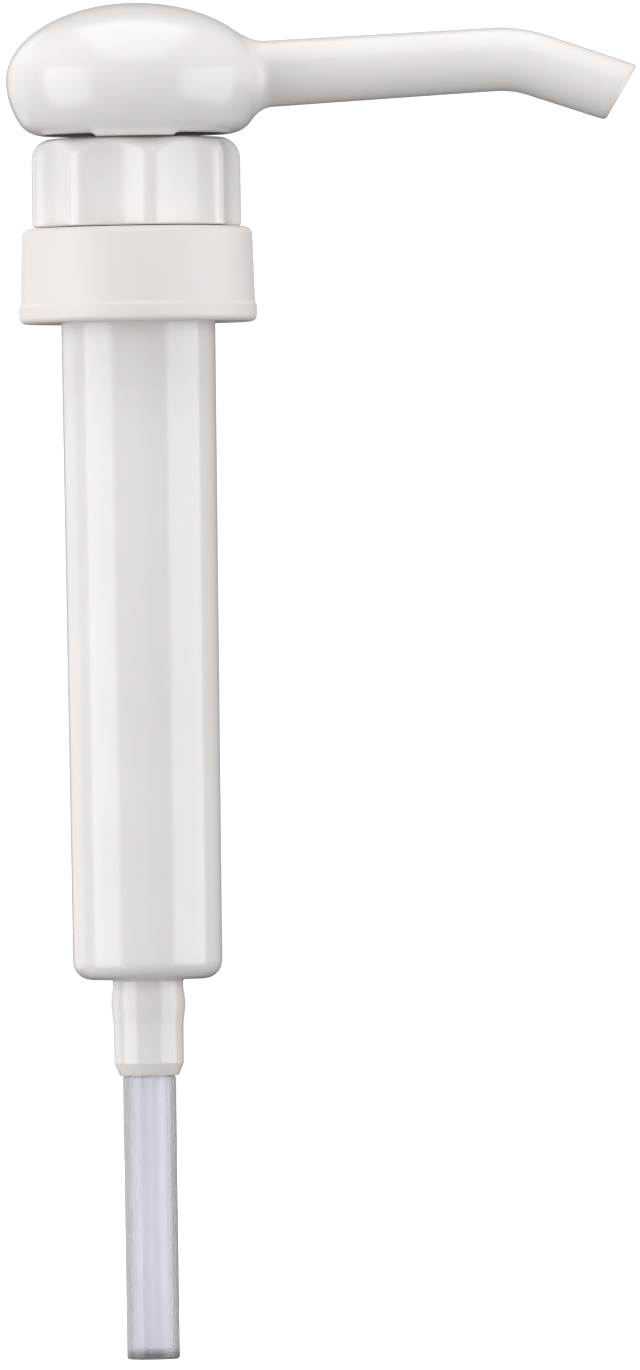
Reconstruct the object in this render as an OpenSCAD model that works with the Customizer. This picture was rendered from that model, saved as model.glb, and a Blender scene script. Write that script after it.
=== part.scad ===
// Condiment pump for a 38 mm jug neck, about 30 mL a stroke.
// Millimetres, +Z up, +X towards the spout. The origin is on the pump's axis, in the plane
// where the neck gasket meets the jug's rim. The plunger is pressed down, with its lugs
// lined up with the release slots of the lock nut.

/* [Pump cylinder] */
// Bore of the cylinder
bore_d = 24.6; // [24.4:0.1:24.8]
// Outside diameter just below the flange
barrel_top_d = 27.7; // [27.4:0.1:27.9]
// Outside diameter at the foot
barrel_foot_d = 26.8; // [26.6:0.1:27.4]
// Depth of the cylinder's foot below the jug's rim
barrel_depth = 129.5; // [128:0.5:140]
// Thickness of the cylinder's floor
floor_t = 2.1; // [1.8:0.1:2.6]
// Outside diameter of the flange
flange_d = 34; // [33:0.5:35]
// Thickness of the flange
flange_t = 2; // [1.6:0.1:2]
// Height of the collar's top rim above the jug's rim
collar_top = 9; // [8.8:0.1:9]

/* [Dip tube] */
// Outside diameter of the dip tube
tube_d = 9.5; // [9:0.1:9.6]
// Bore of the dip tube
tube_bore_d = 6.8; // [6:0.1:7.2]
// Depth of the tube's cut end below the jug's rim
tube_depth = 197.9; // [170:1:330]
// Length of the socket below the cylinder's foot
socket_len = 17.3; // [14:0.5:20]
// Outside diameter of the socket at its root
socket_d = 13; // [12.6:0.1:13.4]

/* [Neck gasket and screw cap] */
// Thickness of the neck gasket
gasket_t = 1.5; // [1:0.1:1.5]
// Outside diameter of the cap at its top
cap_top_d = 41.4; // [41:0.1:42]
// Outside diameter of the bead at the cap's mouth
cap_bead_d = 42.8; // [42.2:0.1:43]
// Depth of the cap's mouth below the jug's rim
cap_depth = 11.4; // [11:0.1:12]
// Height of the cap's top above the jug's rim
cap_top = 5.7; // [5.5:0.1:5.8]
// Diameter at the root of the cap's thread
thread_root_d = 37.9; // [37.7:0.1:38.1]
// Diameter at the crest of the cap's thread
thread_crest_d = 35.6; // [35.4:0.1:36]
// Thread pitch, six threads to the inch
thread_pitch = 4.233; // [4:0.001:4.4]

/* [Lock nut] */
// Diameter over the ribs
nut_d = 37.8; // [37:0.1:38.4]
// Bottom of the nut above the jug's rim
nut_bottom = 6.1; // [6:0.1:6.2]
// Top of the nut above the jug's rim
nut_top = 21.8; // [21.4:0.1:21.8]
// Number of flutes round the nut
flutes = 8; // [6:1:10]
// Radius of each flute
flute_r = 15.4; // [14:0.2:18]
// Distance from the axis to the deepest line of a flute
flute_floor_r = 16.7; // [16.4:0.1:17.2]
// Angle of the first rib, from the spout
rib_angle = 9; // [0:1:45]

/* [Plunger] */
// Travel of the plunger
stroke = 62; // [40:1:62]
// Outside diameter of the stem
stem_d = 11; // [11:0.1:11.2]
// Bore of the stem
stem_bore_d = 8; // [7.6:0.1:8]
// Height of the piston core
piston_h = 14.7; // [13:0.1:14.7]
// Height of the piston core's lower end when pressed, below the jug's rim
piston_foot = 91.7; // [91.6:0.1:92]
// Diameter of the outlet valve's ball
outlet_ball_d = 6.35; // [6:0.05:6.5]
// Diameter of the inlet valve's ball
inlet_ball_d = 8; // [7.6:0.1:8.2]
// Lift of each ball
ball_lift = 3; // [2:0.1:3]

/* [Return spring] */
// Wire diameter
wire_d = 1.3; // [1.1:0.1:1.5]
// Diameter to the middle of the wire
coil_d = 19.6; // [19.4:0.1:20]
// Number of turns, with the closed turn at each end
coils = 14; // [10:1:16]

/* [Actuator head] */
// Diameter of the dome
dome_d = 46.4; // [45:0.1:48]
// Height of the dome's top above the jug's rim
dome_top = 46.2; // [45:0.1:48]
// Height at which the dome is widest
dome_wide = 32.4; // [31:0.1:34]
// Height of the dome's bottom edge
dome_bottom = 22.6; // [22:0.1:23]
// Wall of the dome
dome_wall = 2.2; // [1.8:0.1:2.6]
// Outside diameter of the boss below the dome
boss_d = 14; // [13.8:0.1:14]
// Diameter of the spout where it leaves the dome
spout_root_d = 12.3; // [11.8:0.1:12.6]
// Diameter of the spout in its bend
spout_bend_d = 11.5; // [11.2:0.1:11.8]
// Diameter of the spout's tip
spout_tip_d = 11.2; // [10.8:0.1:11.4]
// Bore of the spout
spout_bore_d = 7.8; // [7:0.1:8]
// Distance from the axis to the corner of the spout's bend
spout_corner = 68.7; // [50:0.1:80]
// Rise of the spout, in degrees
spout_rise = 2.8; // [0:0.1:6]
// Drop of the spout's end, in degrees
spout_drop = 19; // [10:1:40]
// Length of the spout past the corner
spout_end_len = 19.9; // [16:0.1:24]

/* [Hidden] */
$fn = 96;

cut = 1;                                  // overrun of a cutting shape past a face
slip = 0.05;                              // radial clearance of a sliding fit
snug = 0.02;                              // radial clearance between pieces that are fixed
gap = 0.2;                                // clearance between faces that move apart

bore_r = bore_d / 2;
barrel_r = barrel_top_d / 2;
foot_r = barrel_foot_d / 2;
foot_round = 3;                           // rounding of the cylinder's foot
foot_z = -barrel_depth;
floor_z = foot_z + floor_t;
flange_z = gasket_t;
flange_top = flange_z + flange_t;
land_z = -12;                             // end of the straight land under the flange
bead_r = barrel_r + 0.45;                 // snap bead on the collar
gasket_seat_r = barrel_r + 0.2;           // step that centres the gasket
gasket_seat_z = -0.4;
bead_z = [7.3, 8.3];
vent_d = 1.6;
vent_z = -13.2;

tube_r = tube_d / 2;
tube_neck_r = tube_r - 0.2;               // the tube's end, squeezed by its socket
socket_r = socket_d / 2;
socket_z = foot_z - socket_len;
tube_top = foot_z - 2.4;
tube_neck_z = socket_z - 0.3;
inlet_orifice_r = 3.2;
inlet_seat_z = floor_z - 1;
cage_r = 7.4;
cage_bore_r = inlet_ball_d / 2 + 0.6;
cage_top = floor_z + 10;
inlet_ball_r = inlet_ball_d / 2;
inlet_ball_z = inlet_seat_z + sqrt(pow(inlet_ball_r, 2) - pow(inlet_orifice_r, 2)) + slip;

cap_r = cap_top_d / 2;
cap_bead_r = cap_bead_d / 2;
cap_bead_h = 3.6;
cap_round = 1.4;
cap_skirt_r = cap_r + 0.4;
mouth_round = 1;                          // rounding of the cap's lower edge
cap_panel_t = 2;
cap_opening_r = bead_r + 0.3;
thread_root_r = thread_root_d / 2;
thread_crest_r = thread_crest_d / 2;
thread_start = -9.2;
thread_turns = 1.25;
thread_steps = 36;                        // steps in one turn of the thread

nut_r = nut_d / 2;
nut_round = 3.2;
nut_socket_r = barrel_r + 0.15;
core_top = nut_top - 2.2;                 // top of the hollow cored from below
lip_z = nut_top - 3.5;                    // underside of the lip over the lugs
lug_room_r = 9.4;
lug_r = 8.7;
lug_z = [lip_z - 3.8, lip_z - 0.5];
lug_angle = 40;
slot_angle = 52;
sleeve_r = 11;                            // outside of the nut's inner sleeve
guide_flange_t = 1.8;
guide_top = collar_top + guide_flange_t;
wiper_r = 8.2;
wiper_t = 1.8;
shelf_z = guide_top + wiper_t + 0.3;      // top of the shelf that holds the wiper

stem_r = stem_d / 2;
stem_bore_r = stem_bore_d / 2;
piston_foot_z = -piston_foot;
piston_top = piston_foot_z + piston_h;
core_r = 7.2;
core_flange_r = 10.8;
core_flange_t = 1.8;
retainer_t = 2.7;
valve_seat_z = piston_foot_z + 6.7;       // foot of the stem and seat of the outlet ball
outlet_orifice_r = 2.6;
outlet_ball_r = outlet_ball_d / 2;
outlet_ball_z = valve_seat_z + sqrt(pow(outlet_ball_r, 2) - pow(outlet_orifice_r, 2)) + slip;
stop_z = outlet_ball_z + outlet_ball_r + ball_lift + 0.35;
guide_foot = piston_top + stroke + 0.5;   // the plunger's upper stop
stem_top = 27;

cup_t = 1.5;
cup_r = 11.6;
cup_skirt_h = 4;
cup_top = piston_foot_z - gap;
coil_r = coil_d / 2;
wire_r = wire_d / 2;
spring_foot = floor_z;
spring_top = cup_top - cup_t;
coil_steps = 20;                          // steps in one turn of the spring
wire_sides = 6;

dome_r = dome_d / 2;
dome_rise = dome_top - dome_wide;
dome_fall = 17.7;                         // half-height of the ellipse below the widest line
dome_edge = 0.9;                          // bevel of the dome's bottom edge
boss_r = boss_d / 2;
boss_bottom = shelf_z + 0.5;
web_t = 1.4;
web_bottom = 26;
spout_axis_z = 31.9;                      // height of the spout's axis where it meets the pump's
spout_turn = spout_rise + spout_drop;
bend_r = 21;
bend_tangent = bend_r * tan(spout_turn / 2);
spout_len = spout_corner / cos(spout_rise) - bend_tangent;
spout_end = spout_end_len - bend_tangent;
tip_land = 12;                            // straight length at the spout's tip
tip_slant = 11.6;                         // slant of the cut end, in degrees
step = 0.03;                              // step at each end of the bend, to keep the faces apart
spout_bore_r = spout_bore_d / 2;
riser_r = 3.3;                            // passage from the stem up to the spout's bore

plastic = [0.93, 0.92, 0.91];
clear_plastic = [0.80, 0.80, 0.85];
soft_plastic = [0.80, 0.82, 0.84];
steel = [0.75, 0.76, 0.78];

// A ring between two radii and two heights
module ring(r_in, r_out, z0, z1) {
    translate([0, 0, z0])
        difference() {
            cylinder(r = r_out, h = z1 - z0);
            translate([0, 0, -cut])
                cylinder(r = r_in, h = z1 - z0 + 2 * cut);
        }
}

// A plain hole between two heights
module hole(r, z0, z1) {
    translate([0, 0, z0])
        cylinder(r = r, h = z1 - z0);
}

// A sector of a ring, centred on an angle
module sector(r_in, r_out, z0, z1, middle, width) {
    rotate_extrude(angle = width, start = middle - width / 2)
        translate([r_in, z0])
            square([r_out - r_in, z1 - z0]);
}

// The half outline of a round block with its upper outer corner rounded
module round_top_outline(r, z0, z1, round) {
    translate([0, z0])
        square([r, z1 - z0 - round]);
    translate([0, z0])
        square([r - round, z1 - z0]);
    translate([r - round, z1 - round])
        circle(r = round);
}

module barrel_outline() {
    polygon([[0, foot_z], [foot_r - foot_round, foot_z], [foot_r - foot_round, foot_z + foot_round],
        [foot_r, foot_z + foot_round], [barrel_r, land_z], [0, land_z]]);
    translate([foot_r - foot_round, foot_z + foot_round])
        circle(r = foot_round);
}

// The dip tube socket's half outline: a low bead under its root and a tapered mouth
module socket_outline() {
    polygon([[0, foot_z + cut], [socket_r - 0.2, foot_z + cut], [socket_r - 0.2, foot_z - 1.5],
        [socket_r + 0.1, foot_z - 3.8], [socket_r + 0.1, foot_z - 5], [socket_r - 0.25, foot_z - 8],
        [socket_r - 0.3, socket_z + 2.2], [tube_r + 0.5, socket_z], [0, socket_z]]);
}

module pump_cylinder() {
    color(plastic)
        difference() {
            union() {
                rotate_extrude()
                    barrel_outline();
                hole(barrel_r, land_z, 0);
                hole(gasket_seat_r, gasket_seat_z, flange_z);
                hole(flange_d / 2, flange_z, flange_top);
                hole(barrel_r, flange_top, collar_top);
                hole(bead_r, bead_z[0], bead_z[1]);
                rotate_extrude()
                    socket_outline();
            }
            hole(bore_r, floor_z, collar_top + cut);
            hole(cage_bore_r, inlet_seat_z, floor_z + cut);
            hole(inlet_orifice_r, tube_top - cut, inlet_seat_z + cut);
            hole(tube_neck_r + snug, socket_z - cut, tube_top);
            translate([0, 0, vent_z])
                rotate([-90, 0, 0])
                    cylinder(d = vent_d, h = barrel_r + cut, $fn = 24);
        }
}

module dip_tube() {
    bevel = 0.5;
    color(clear_plastic)
        difference() {
            union() {
                hole(tube_neck_r, -tube_depth + cut, tube_top - snug);
                hole(tube_r, bevel - tube_depth, tube_neck_z);
                translate([0, 0, -tube_depth])
                    cylinder(r1 = tube_r - bevel, r2 = tube_r, h = bevel);
            }
            hole(tube_bore_d / 2, -tube_depth - cut, tube_top);
        }
}

module neck_gasket() {
    color(soft_plastic)
        ring(gasket_seat_r + slip, flange_d / 2, 0, gasket_t);
}

// How deep the thread stands at a share of its length: it fades in and out over its ends
function thread_depth(share) = (thread_root_r - thread_crest_r) * min(1, 0.04 + 8 * share, 0.04 + 8 * (1 - share));

// The four corners of the thread's section at one step along the helix
function thread_corners(i, n) =
    let (a = 360 * i / thread_steps, z = thread_start + thread_pitch * i / thread_steps,
        r = thread_root_r - thread_depth(i / n))
    [for (p = [[thread_root_r + 0.4, z - 1.4], [r, z - 0.5], [r, z + 0.5], [thread_root_r + 0.4, z + 1.4]])
        [p[0] * cos(a), p[0] * sin(a), p[1]]];

// A chain of rings of points, closed into a solid with flat ends
module skin(rings) {
    n = len(rings);
    m = len(rings[0]);
    sides = [for (i = [0 : n - 2], j = [0 : m - 1])
        [i * m + j, (i + 1) * m + j, (i + 1) * m + (j + 1) % m, i * m + (j + 1) % m]];
    polyhedron([for (r = rings, p = r) p],
        concat([[for (j = [0 : m - 1]) j]], sides, [[for (j = [m - 1 : -1 : 0]) (n - 1) * m + j]]));
}

module neck_thread() {
    n = thread_turns * thread_steps;
    skin([for (i = [0 : n]) thread_corners(i, n)]);
}

// The cap's half outline: a skirt that widens slightly downwards, with a low bead at its mouth
module cap_outline() {
    mouth_z = -cap_depth;
    translate([0, cap_top - 2 * cap_round])
        round_top_outline(cap_r, 0, 2 * cap_round, cap_round);
    polygon([[0, mouth_z + mouth_round], [cap_bead_r, mouth_z + mouth_round],
        [cap_bead_r, mouth_z + cap_bead_h - 0.6], [cap_skirt_r, mouth_z + cap_bead_h],
        [cap_r, cap_top - 2 * cap_round], [0, cap_top - 2 * cap_round]]);
    translate([0, mouth_z])
        square([cap_bead_r - mouth_round, mouth_round]);
    translate([cap_bead_r - mouth_round, mouth_z + mouth_round])
        circle(r = mouth_round);
}

module screw_cap() {
    color(plastic)
        union() {
            difference() {
                rotate_extrude()
                    cap_outline();
                hole(thread_root_r, -cap_depth - cut, cap_top - cap_panel_t);
                hole(cap_opening_r, -cut, cap_top + cut);
            }
            neck_thread();
        }
}

module nut_outside() {
    intersection() {
        rotate_extrude()
            round_top_outline(nut_r, nut_bottom, nut_top, nut_round);
        translate([0, 0, nut_bottom - cut])
            linear_extrude(nut_top - nut_bottom + 2 * cut)
                difference() {
                    circle(r = nut_r + cut);
                    for (i = [0 : flutes - 1])
                        rotate(rib_angle + 360 * (i + 0.5) / flutes)
                            translate([flute_floor_r + flute_r, 0])
                                circle(r = flute_r);
                }
    }
}

// The nut's hollow: socket and bead groove, cored ring, wiper seat, room for the lugs, lip
module nut_hollow_outline() {
    groove_r = bead_r + 0.15;
    groove_z = [bead_z[0] - 0.1, bead_z[1] + 0.1];
    mouth_r = boss_r + 0.3;
    polygon([[0, nut_bottom - cut], [nut_socket_r, nut_bottom - cut], [nut_socket_r, groove_z[0]],
        [groove_r, groove_z[0]], [groove_r, groove_z[1]], [nut_socket_r, groove_z[1]],
        [nut_socket_r, core_top], [sleeve_r, core_top], [sleeve_r, guide_top],
        [wiper_r + 0.1, guide_top], [wiper_r + 0.1, shelf_z], [lug_room_r, shelf_z],
        [lug_room_r, lip_z], [mouth_r, lip_z], [mouth_r, nut_top + cut], [0, nut_top + cut]]);
}

module lock_nut() {
    color(plastic)
        difference() {
            nut_outside();
            rotate_extrude()
                nut_hollow_outline();
            for (side = [-90, 90])
                sector(boss_r, lug_r + 0.3, lip_z - cut, nut_top + cut, side, slot_angle);
        }
}

module stem_guide() {
    groove_z = collar_top - 3.8;
    color(plastic)
        union() {
            ring(stem_r + slip, barrel_r - 0.25, collar_top, guide_top);
            ring(stem_r + slip, stem_r + 2.1, guide_foot, collar_top);
            difference() {
                ring(bore_r - 2.3, bore_r - snug, collar_top - 6, collar_top);
                ring(bore_r - 1.5, bore_r + cut, groove_z, groove_z + 2);
            }
        }
}

module cylinder_seal_ring() {
    color(soft_plastic)
        translate([0, 0, collar_top - 2.8])
            rotate_extrude()
                translate([bore_r - 0.76, 0])
                    circle(r = 0.72, $fn = 32);
}

module stem_wiper() {
    lip_r = stem_r + slip;
    color(soft_plastic)
        rotate_extrude()
            polygon([[lip_r + 1.2, guide_top], [wiper_r, guide_top], [wiper_r, guide_top + wiper_t],
                [lip_r, guide_top + wiper_t], [lip_r, guide_top + wiper_t - 0.5]]);
}

module inlet_ball_cage() {
    window_w = 3.4;
    color(plastic)
        difference() {
            union() {
                ring(cage_bore_r, cage_r, floor_z, floor_z + 1.2);
                ring(cage_bore_r, cage_r - 1, floor_z + 1.2, cage_top - 1.2);
                hole(cage_r - 1, cage_top - 1.2, cage_top);
            }
            hole(2, cage_top - 1.2 - cut, cage_top + cut);
            for (a = [0, 90])
                rotate(a)
                    translate([-cage_r, -window_w / 2, floor_z + 2.4])
                        cube([2 * cage_r, window_w, cage_top - floor_z - 4.2]);
        }
}

module inlet_ball() {
    color(steel)
        translate([0, 0, inlet_ball_z])
            sphere(r = inlet_ball_r);
}

// How far a turn number has risen: the first and last turns are closed, wire on wire
function coil_rise(turn) =
    let (open_pitch = (spring_top - spring_foot - 3 * wire_d) / (coils - 2))
    wire_r + (turn < 1 ? turn * wire_d
        : turn > coils - 1 ? wire_d + (coils - 2) * open_pitch + (turn - coils + 1) * wire_d
        : wire_d + (turn - 1) * open_pitch);

function wire_ring(turn) =
    let (z = spring_foot + coil_rise(turn))
    [for (k = [0 : wire_sides - 1])
        let (b = -360 * (k + 0.5) / wire_sides, r = coil_r + wire_r * cos(b))
        [r * cos(360 * turn), r * sin(360 * turn), z + wire_r * sin(b)]];

module return_spring() {
    color(steel)
        skin([for (i = [0 : coils * coil_steps]) wire_ring(i / coil_steps)]);
}

module spring_cup() {
    skirt_r = coil_r - wire_r - 0.25;
    color(plastic)
        union() {
            ring(skirt_r - 1.2, cup_r, cup_top - cup_t, cup_top);
            ring(skirt_r - 1.2, skirt_r, cup_top - cup_t - cup_skirt_h, cup_top - cup_t);
        }
}

module piston_core() {
    color(plastic)
        difference() {
            union() {
                hole(core_r, piston_foot_z, piston_top);
                hole(core_flange_r, piston_top - core_flange_t, piston_top);
            }
            hole(stem_r, valve_seat_z, piston_top + cut);
            hole(outlet_orifice_r, piston_foot_z - cut, valve_seat_z + cut);
            hole(stem_bore_r, piston_foot_z - cut, valve_seat_z - 2);
        }
}

module piston_retainer() {
    color(plastic)
        difference() {
            ring(core_r + snug, core_flange_r, piston_foot_z, piston_foot_z + retainer_t);
            for (a = [0 : 90 : 270])
                rotate(a)
                    translate([9.4, 0, piston_foot_z - cut])
                        cylinder(d = 1.8, h = retainer_t, $fn = 24);
        }
}

module piston_seal() {
    z0 = piston_foot_z + retainer_t;
    z1 = piston_top - core_flange_t;
    lip_r = bore_r - slip;
    web_r = bore_r - 1.3;
    color(soft_plastic)
        rotate_extrude()
            polygon([[core_r + snug, z0], [lip_r - 1.6, z0], [web_r - 1.4, z0 + 2.6], [lip_r - 0.8, z0],
                [lip_r, z0], [lip_r, z0 + 0.8], [web_r, z0 + 3], [web_r, z1 - 3], [lip_r, z1 - 0.8],
                [lip_r, z1], [lip_r - 0.8, z1], [web_r - 1.4, z1 - 2.6], [lip_r - 1.6, z1],
                [core_r + snug, z1]]);
}

module outlet_ball() {
    color(steel)
        translate([0, 0, outlet_ball_z])
            sphere(r = outlet_ball_r);
}

module outlet_ball_stop() {
    height = 2;
    color(plastic)
        union() {
            ring(stem_bore_r - 0.8, stem_bore_r - snug, stop_z, stop_z + height);
            intersection() {
                hole(stem_bore_r - 0.4, stop_z, stop_z + height);
                for (a = [0, 90])
                    rotate(a)
                        translate([-stem_bore_r, -0.6, stop_z])
                            cube([2 * stem_bore_r, 1.2, height]);
            }
        }
}

module stem() {
    color(plastic)
        ring(stem_bore_r, stem_r - snug, valve_seat_z, stem_top);
}

// The dome's half outline, shrunk by a wall thickness, down to a height
function dome_points(wall, z_end) =
    let (r = dome_r - wall, end_angle = asin((z_end - dome_wide) / (dome_fall - wall)), steps = 22)
    [for (i = [0 : steps])
        let (a = 90 + (end_angle - 90) * i / steps)
        [r * cos(a), dome_wide + (a > 0 ? dome_rise - wall : dome_fall - wall) * sin(a)]];

module dome_solid(wall, z_end) {
    pts = dome_points(wall, z_end);
    rotate_extrude()
        polygon(concat([[0, z_end]], pts));
}

module dome_shell() {
    edge_r = dome_points(0, dome_bottom + dome_edge)[22][0];
    difference() {
        union() {
            dome_solid(0, dome_bottom + dome_edge);
            translate([0, 0, dome_bottom])
                cylinder(r1 = edge_r - dome_edge, r2 = edge_r, h = dome_edge);
        }
        dome_solid(dome_wall, dome_bottom + dome_edge);
        hole(edge_r - dome_wall, dome_bottom - cut, dome_bottom + dome_edge + cut);
    }
}

// Moves what follows from the start of the spout's bend to its end
module past_bend() {
    translate([bend_r * sin(spout_turn), 0, bend_r * cos(spout_turn) - bend_r])
        rotate([0, spout_turn, 0])
            children();
}

// Lays what follows along the spout's straight run, with +X along it
module along_spout(x) {
    translate([0, 0, spout_axis_z])
        rotate([0, -spout_rise, 0])
            translate([x, 0, 0])
                children();
}

module bend(r) {
    translate([0, 0, -bend_r])
        rotate([90, 0, 0])
            rotate_extrude(angle = spout_turn, start = 90 - spout_turn)
                translate([bend_r, 0])
                    circle(r = r);
}

module spout_outside() {
    along_spout(0)
        rotate([0, 90, 0])
            cylinder(r1 = spout_root_d / 2, r2 = spout_bend_d / 2, h = spout_len);
    along_spout(spout_len) {
        bend(spout_bend_d / 2 - step);
        past_bend()
            rotate([0, 90, 0]) {
                cylinder(r1 = spout_bend_d / 2, r2 = spout_tip_d / 2, h = spout_end - tip_land);
                translate([0, 0, spout_end - tip_land])
                    cylinder(r = spout_tip_d / 2, h = tip_land + 2);
            }
    }
}

module spout_bore() {
    along_spout(-stem_bore_r)
        rotate([0, 90, 0])
            cylinder(r = spout_bore_r, h = spout_len + stem_bore_r);
    along_spout(spout_len) {
        bend(spout_bore_r - step);
        past_bend()
            rotate([0, 90, 0])
                cylinder(r = spout_bore_r, h = spout_end + 4);
    }
}

module tip_cut() {
    along_spout(spout_len)
        past_bend()
            translate([spout_end, 0, 0])
                rotate([0, tip_slant, 0])
                    translate([0, -10, -10])
                        cube(20);
}

module actuator_head() {
    color(plastic)
        difference() {
            union() {
                dome_shell();
                intersection() {
                    dome_solid(dome_wall / 2, dome_bottom + dome_edge);
                    for (a = [60 : 60 : 300])
                        rotate(a)
                            translate([boss_r - 1, -web_t / 2, web_bottom])
                                cube([dome_r, web_t, dome_top]);
                }
                hole(boss_r, boss_bottom, dome_top - dome_wall + 0.4);
                for (side = [-90, 90])
                    sector(boss_r - 1, lug_r, lug_z[0], lug_z[1], side, lug_angle);
                spout_outside();
            }
            spout_bore();
            tip_cut();
            hole(stem_r, boss_bottom - cut, stem_top);
            hole(riser_r, stem_top - cut, spout_axis_z);
        }
}

pump_cylinder();
dip_tube();
neck_gasket();
screw_cap();
lock_nut();
stem_guide();
stem_wiper();
cylinder_seal_ring();
inlet_ball_cage();
inlet_ball();
return_spring();
spring_cup();
piston_retainer();
piston_seal();
piston_core();
outlet_ball();
outlet_ball_stop();
stem();
actuator_head();
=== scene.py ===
"""Looks of the condiment pump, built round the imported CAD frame. +Z is up, +X is towards the spout.

Shapes are worked out in millimetres and become metres when their mesh is made. Light, camera and material
lengths are in metres.
"""

import math

import bmesh
import bpy
import numpy as np
import openvdb
from mathutils import Matrix, Quaternion, Vector


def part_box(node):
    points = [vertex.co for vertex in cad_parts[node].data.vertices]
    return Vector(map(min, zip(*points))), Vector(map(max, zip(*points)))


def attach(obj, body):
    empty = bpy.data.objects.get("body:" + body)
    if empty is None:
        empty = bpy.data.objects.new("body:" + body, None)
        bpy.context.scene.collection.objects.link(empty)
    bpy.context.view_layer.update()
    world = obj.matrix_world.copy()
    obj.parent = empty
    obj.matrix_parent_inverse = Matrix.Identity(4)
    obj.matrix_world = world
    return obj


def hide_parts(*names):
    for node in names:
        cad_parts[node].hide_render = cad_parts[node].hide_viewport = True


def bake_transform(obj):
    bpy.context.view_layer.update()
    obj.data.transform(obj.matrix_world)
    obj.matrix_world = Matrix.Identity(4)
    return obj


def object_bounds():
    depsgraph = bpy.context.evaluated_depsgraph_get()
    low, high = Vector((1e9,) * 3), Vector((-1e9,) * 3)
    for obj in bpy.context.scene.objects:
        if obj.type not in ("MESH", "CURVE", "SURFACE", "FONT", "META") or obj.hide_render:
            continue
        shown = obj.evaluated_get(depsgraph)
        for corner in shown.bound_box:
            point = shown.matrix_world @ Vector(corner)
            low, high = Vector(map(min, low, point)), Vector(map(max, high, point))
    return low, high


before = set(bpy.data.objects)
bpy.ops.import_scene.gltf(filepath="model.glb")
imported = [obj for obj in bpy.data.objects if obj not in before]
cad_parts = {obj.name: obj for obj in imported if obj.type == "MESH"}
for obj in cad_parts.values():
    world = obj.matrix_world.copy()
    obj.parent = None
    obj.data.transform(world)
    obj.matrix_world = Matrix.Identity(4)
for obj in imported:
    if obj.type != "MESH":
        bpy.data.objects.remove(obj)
CAD_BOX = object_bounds()

MM = 0.001


# ---------------------------------------------------------------- shapes

FLAT_WEIGHT = 80        # how far large faces outweigh small ones in the shading of an edge
EDGE_SHARE = 0.48       # most of an outline's edge that one rounding may take up
STRAIGHT = 0.02         # a corner that turns by less than this many radians stays as it is
BAND = 3                # half width of a distance grid's narrow band, in cells
PULLS = 3               # times that a meshed point is moved on to the true surface


def box_mm(node):
    """A CAD node's lowest and highest corner, in millimetres."""
    low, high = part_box(node)
    return np.array(low) / MM, np.array(high) / MM


def mesh_piece(name, points, faces, material, sharp=40, weighted=True):
    """A new mesh object from points in millimetres, shaded smooth except at edges over the sharp angle."""
    mesh = bpy.data.meshes.new(name)
    mesh.from_pydata((np.asarray(points, float) * MM).tolist(), [], [list(map(int, f)) for f in faces])
    mesh.validate()
    work = bmesh.new()
    work.from_mesh(mesh)
    bmesh.ops.recalc_face_normals(work, faces=work.faces)
    work.to_mesh(mesh)
    work.free()
    mesh.shade_smooth()
    mesh.set_sharp_from_angle(angle=math.radians(sharp))
    mesh.materials.append(material)
    piece = bpy.data.objects.new(name, mesh)
    bpy.context.scene.collection.objects.link(piece)
    if weighted:
        normals = piece.modifiers.new("flats", "WEIGHTED_NORMAL")
        normals.keep_sharp = True
        normals.weight = FLAT_WEIGHT
    return piece


def apply_modifiers(piece):
    """Turns a piece's modifiers into its mesh."""
    evaluated = piece.evaluated_get(bpy.context.evaluated_depsgraph_get())
    mesh = bpy.data.meshes.new_from_object(evaluated)
    piece.modifiers.clear()
    piece.data = mesh


def rounded(corners, steps=5):
    """A closed outline through corners (r, z, rounding), each corner turned into an arc of steps chords."""
    out = []
    for i, (r, z, radius) in enumerate(corners):
        here = np.array([r, z])
        before = np.array(corners[i - 1][:2]) - here
        after = np.array(corners[(i + 1) % len(corners)][:2]) - here
        len_before, len_after = np.linalg.norm(before), np.linalg.norm(after)
        before, after = before / len_before, after / len_after
        angle = math.acos(float(np.clip(before @ after, -1, 1)))
        if radius <= 0 or angle > math.pi - STRAIGHT:
            out.append(here)
            continue
        reach = min(radius / math.tan(angle / 2), EDGE_SHARE * len_before, EDGE_SHARE * len_after)
        radius = reach * math.tan(angle / 2)
        halfway = (before + after) / np.linalg.norm(before + after)
        middle = here + halfway * radius / math.sin(angle / 2)
        start, end = here + before * reach - middle, here + after * reach - middle
        sweep = math.atan2(start[0] * end[1] - start[1] * end[0], start @ end)
        for k in range(steps + 1):
            turn = sweep * k / steps
            out.append(middle + [start[0] * math.cos(turn) - start[1] * math.sin(turn),
                                 start[0] * math.sin(turn) + start[1] * math.cos(turn)])
    return np.array(out)


def lathe(name, outline, material, columns=160, **shading):
    """A ring swept round Z. outline is a closed list of (r, z), or a function that gives one for an angle."""
    angles = np.linspace(0, 2 * math.pi, columns, endpoint=False)
    rings = [np.asarray(outline(a) if callable(outline) else outline) for a in angles]
    rows = len(rings[0])
    points = np.concatenate([
        np.column_stack([p[:, 0] * math.cos(a), p[:, 0] * math.sin(a), p[:, 1]])
        for a, p in zip(angles, rings)])
    faces = []
    for i in range(columns):
        here, after = i * rows, (i + 1) % columns * rows
        faces += [(here + j, after + j, after + (j + 1) % rows, here + (j + 1) % rows) for j in range(rows)]
    return mesh_piece(name, points, faces, material, **shading)


def soft_min(a, b, blend):
    """The smaller of two distances, blended so that the two shapes meet in a fillet."""
    h = np.clip(blend - np.abs(a - b), 0, None) / blend
    return np.minimum(a, b) - h * h * blend * 0.25


def soft_max(a, b, blend):
    """The larger of two distances, blended so that the edge where the shapes meet is rounded."""
    return -soft_min(-a, -b, blend)


def smooth_step(t):
    """Eases 0..1 in and out."""
    return t * t * (3 - 2 * t)


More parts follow.
